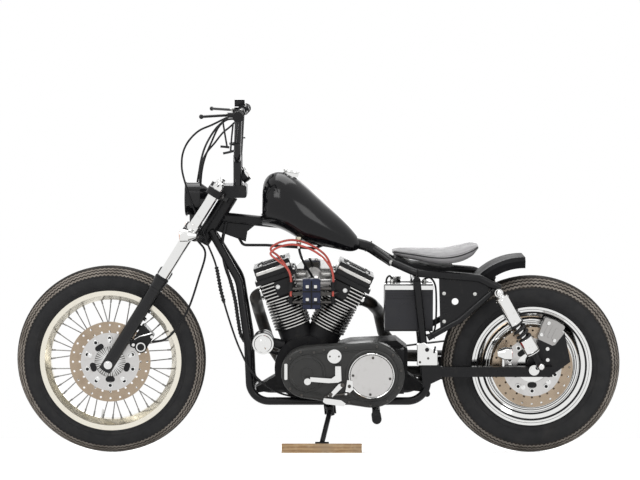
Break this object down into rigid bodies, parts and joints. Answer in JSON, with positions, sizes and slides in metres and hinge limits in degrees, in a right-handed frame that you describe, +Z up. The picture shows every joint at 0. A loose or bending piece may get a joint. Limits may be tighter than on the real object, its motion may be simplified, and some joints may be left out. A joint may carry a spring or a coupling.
{
  "type": "chopper motorcycle",
  "caption": "Black V-twin chopper with a high peanut tank, laced front wheel and disc rear wheel, leaning on its side stand on a timber block.",
  "frame": {"origin": "centre of the bounding box on the floor under the parked motorcycle", "axes": "+X from the front wheel to the rear wheel, +Y to the rider's right, +Z up; the bike leans to its left, towards -Y"},
  "size_m": [2.1909, 0.863, 1.3058],
  "materials": {
    "black_paint": "gloss black paint",
    "tank_paint": "gloss black paint",
    "engine_black": "black wrinkle coat",
    "black_tyre": "black rubber",
    "black_rubber": "black rubber",
    "bright_chrome": "chrome",
    "polished_rim": "polished",
    "bright_alloy": "polished",
    "disc_steel": "ground steel",
    "bare_steel": "brushed",
    "lamp_glass": "clear",
    "coil_blue": "gloss blue",
    "lead_red": "red silicone",
    "black_plastic": "matte black",
    "seat_leather": "black leather",
    "belt_rubber": "toothed belt",
    "block_wood": "raw timber"
  },
  "bodies": {
    "frame": {"frame_backbone": "black_paint", "frame_cradle": "black_paint", "frame_seat_rails": "black_paint", "crankcase": "engine_black", "cylinder_barrels": "engine_black", "cylinder_heads": "engine_black", "rocker_boxes": "engine_black", "primary_cover": "engine_black", "side_covers": "bright_alloy", "gearcase_cover": "engine_black", "pushrod_tubes": "bright_chrome", "carburettor": "bright_alloy", "air_cleaner": "black_paint", "exhaust_pipes": "black_paint", "oil_filter": "black_paint", "ignition_coil": "coil_blue", "fuel_tank": "tank_paint", "tank_cap": "bright_chrome", "seat_pad": "seat_leather", "seat_pan": "black_paint", "rear_fender": "black_paint", "swingarm": "black_paint", "rear_axle": "bare_steel", "rear_shocks": "bright_chrome", "shock_springs": "black_paint", "battery": "black_plastic", "oil_tank": "black_paint", "side_plate": "black_paint", "timber_block": "block_wood", "rear_caliper": "bright_alloy", "drive_belt": "belt_rubber", "foot_pegs": "black_rubber", "clutch_cable": "black_rubber", "wiring_loom": "black_rubber", "foot_controls": "bright_chrome", "rear_indicators": "bright_chrome", "plug_leads": "lead_red"},
    "steering": {"triple_clamps": "black_paint", "fork_tubes": "bright_chrome", "fork_sliders": "black_paint", "front_axle": "bare_steel", "handlebar": "black_paint", "handlebar_grips": "black_rubber", "hand_levers": "black_paint", "headlamp_shell": "black_paint", "headlamp_lens": "lamp_glass", "front_indicators": "bright_chrome", "front_caliper": "black_paint", "steering_cables": "black_rubber", "instruments": "black_paint", "bar_switchgear": "black_plastic"},
    "front_wheel_body": {"front_wheel": "polished_rim", "front_tyre": "black_tyre", "front_disc": "disc_steel"},
    "rear_wheel_body": {"rear_wheel": "bright_chrome", "rear_tyre": "black_tyre", "rear_disc": "disc_steel", "rear_pulley": "black_paint"},
    "side_stand_body": {"side_stand": "black_paint"}
  },
  "joints": [
    {"name": "steering", "type": "hinge", "parent": "frame", "child": "steering", "pos_m": [-0.36978, 0.00225, 0.83975], "axis": [0.5299, -0.1763, 0.8295], "range_deg": [-32, 32], "deforming": ["clutch_cable"]},
    {"name": "front_wheel_spin", "type": "hinge", "parent": "steering", "child": "front_wheel_body", "pos_m": [-0.7525, 0.10919, 0.33664], "axis": [0, 0.9781, 0.2079], "continuous": true},
    {"name": "rear_wheel_spin", "type": "hinge", "parent": "frame", "child": "rear_wheel_body", "pos_m": [0.7705, 0.11287, 0.31932], "axis": [0, 0.9781, 0.2079], "continuous": true},
    {"name": "side_stand_fold", "type": "hinge", "parent": "frame", "child": "side_stand_body", "pos_m": [0.0415, 0.0142, 0.14862], "axis": [-0.108, -0.2365, 0.9656], "range_deg": [0, 88]}
  ]
}
